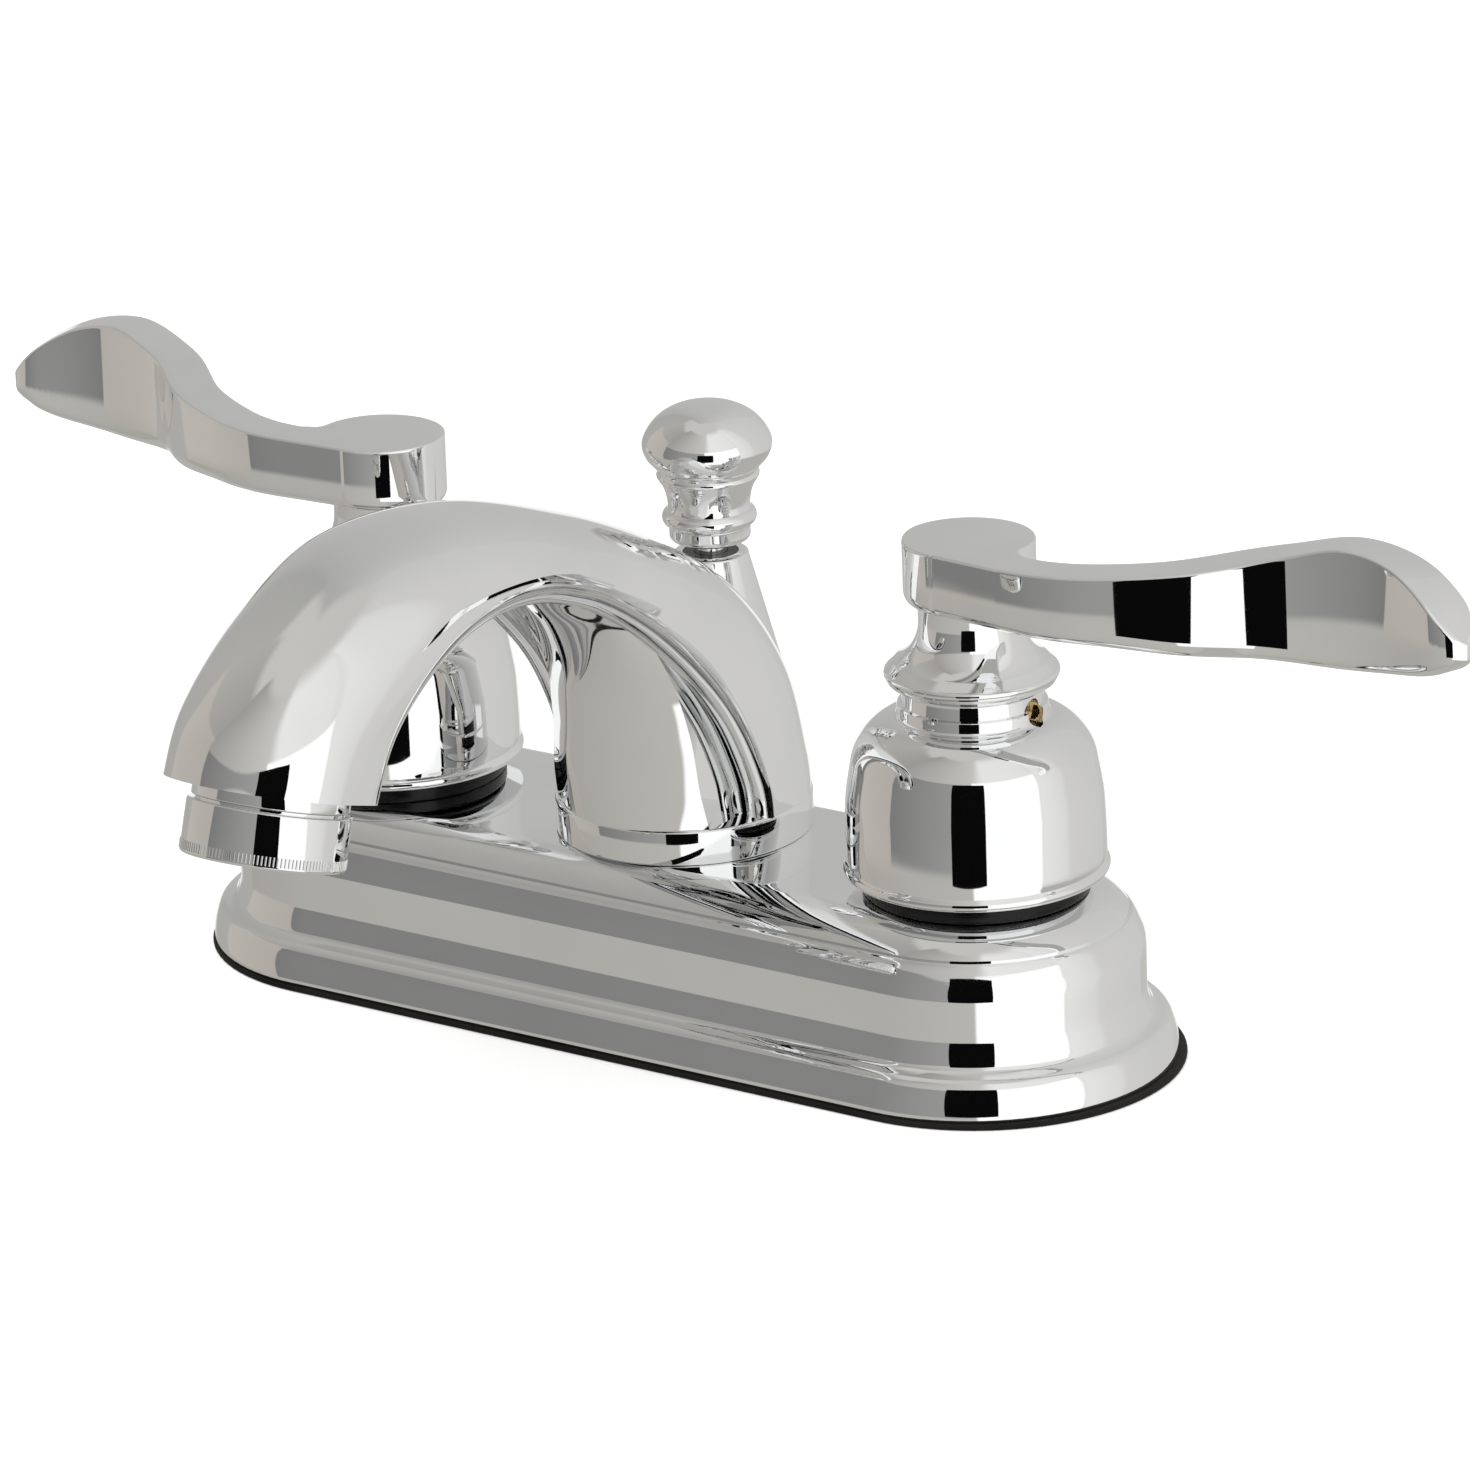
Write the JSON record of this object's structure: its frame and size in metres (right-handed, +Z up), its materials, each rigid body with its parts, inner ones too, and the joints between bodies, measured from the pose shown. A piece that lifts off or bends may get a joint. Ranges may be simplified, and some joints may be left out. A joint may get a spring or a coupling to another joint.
{
  "type": "centerset bathroom faucet",
  "caption": "Two-handle centerset basin faucet: stadium deck plate, arched spout with aerator, bell handles with wave levers and a lift rod behind the spout.",
  "frame": {"origin": "on the sink deck (underside of the gasket), midway between the two handle axes", "axes": "+X towards the cold side (to the right as seen from the basin), -Y towards the basin and the spout's outlet, +Z up"},
  "size_m": [0.2551, 0.1373, 0.1503],
  "materials": {
    "chrome": "polished",
    "brass": "machined",
    "rubber": "matte",
    "black_plastic": "glossy",
    "white_plastic": "satin",
    "grey_ceramic": "lapped",
    "white_ceramic": "lapped"
  },
  "bodies": {
    "faucet_body": {"deck_gasket": "rubber", "deck_plate": "chrome", "valve_body": "brass", "left_shank": "brass", "right_shank": "brass", "spout": "chrome", "spout_oring": "rubber", "aerator_housing": "chrome", "aerator_insert": "white_plastic", "aerator_washer": "rubber", "rod_bush": "black_plastic", "left_skirt_ring": "black_plastic", "left_bonnet_nut": "brass", "left_cartridge": "brass", "left_fixed_disc": "white_ceramic", "left_seat_seal": "rubber", "left_cartridge_oring": "rubber", "right_skirt_ring": "black_plastic", "right_bonnet_nut": "brass", "right_cartridge": "brass", "right_fixed_disc": "white_ceramic", "right_seat_seal": "rubber", "right_cartridge_oring": "rubber"},
    "left_handle": {"left_lever": "chrome", "left_bell": "chrome", "left_set_screw": "brass", "left_valve_stem": "brass", "left_moving_disc": "grey_ceramic"},
    "right_handle": {"right_lever": "chrome", "right_bell": "chrome", "right_set_screw": "brass", "right_valve_stem": "brass", "right_moving_disc": "grey_ceramic"},
    "lift_rod_and_knob": {"lift_rod": "chrome", "lift_knob": "chrome"}
  },
  "joints": [
    {"name": "left_handle_turn", "type": "hinge", "parent": "faucet_body", "child": "left_handle", "pos_m": [-0.0508, 0, 0], "axis": [0, 0, 1], "range_deg": [0, 90]},
    {"name": "right_handle_turn", "type": "hinge", "parent": "faucet_body", "child": "right_handle", "pos_m": [0.0508, 0, 0], "axis": [0, 0, 1], "range_deg": [-90, 0]},
    {"name": "lift_rod_slide", "type": "slide", "parent": "faucet_body", "child": "lift_rod_and_knob", "axis": [0, 0, 1], "range_m": [0, 0.025]}
  ]
}
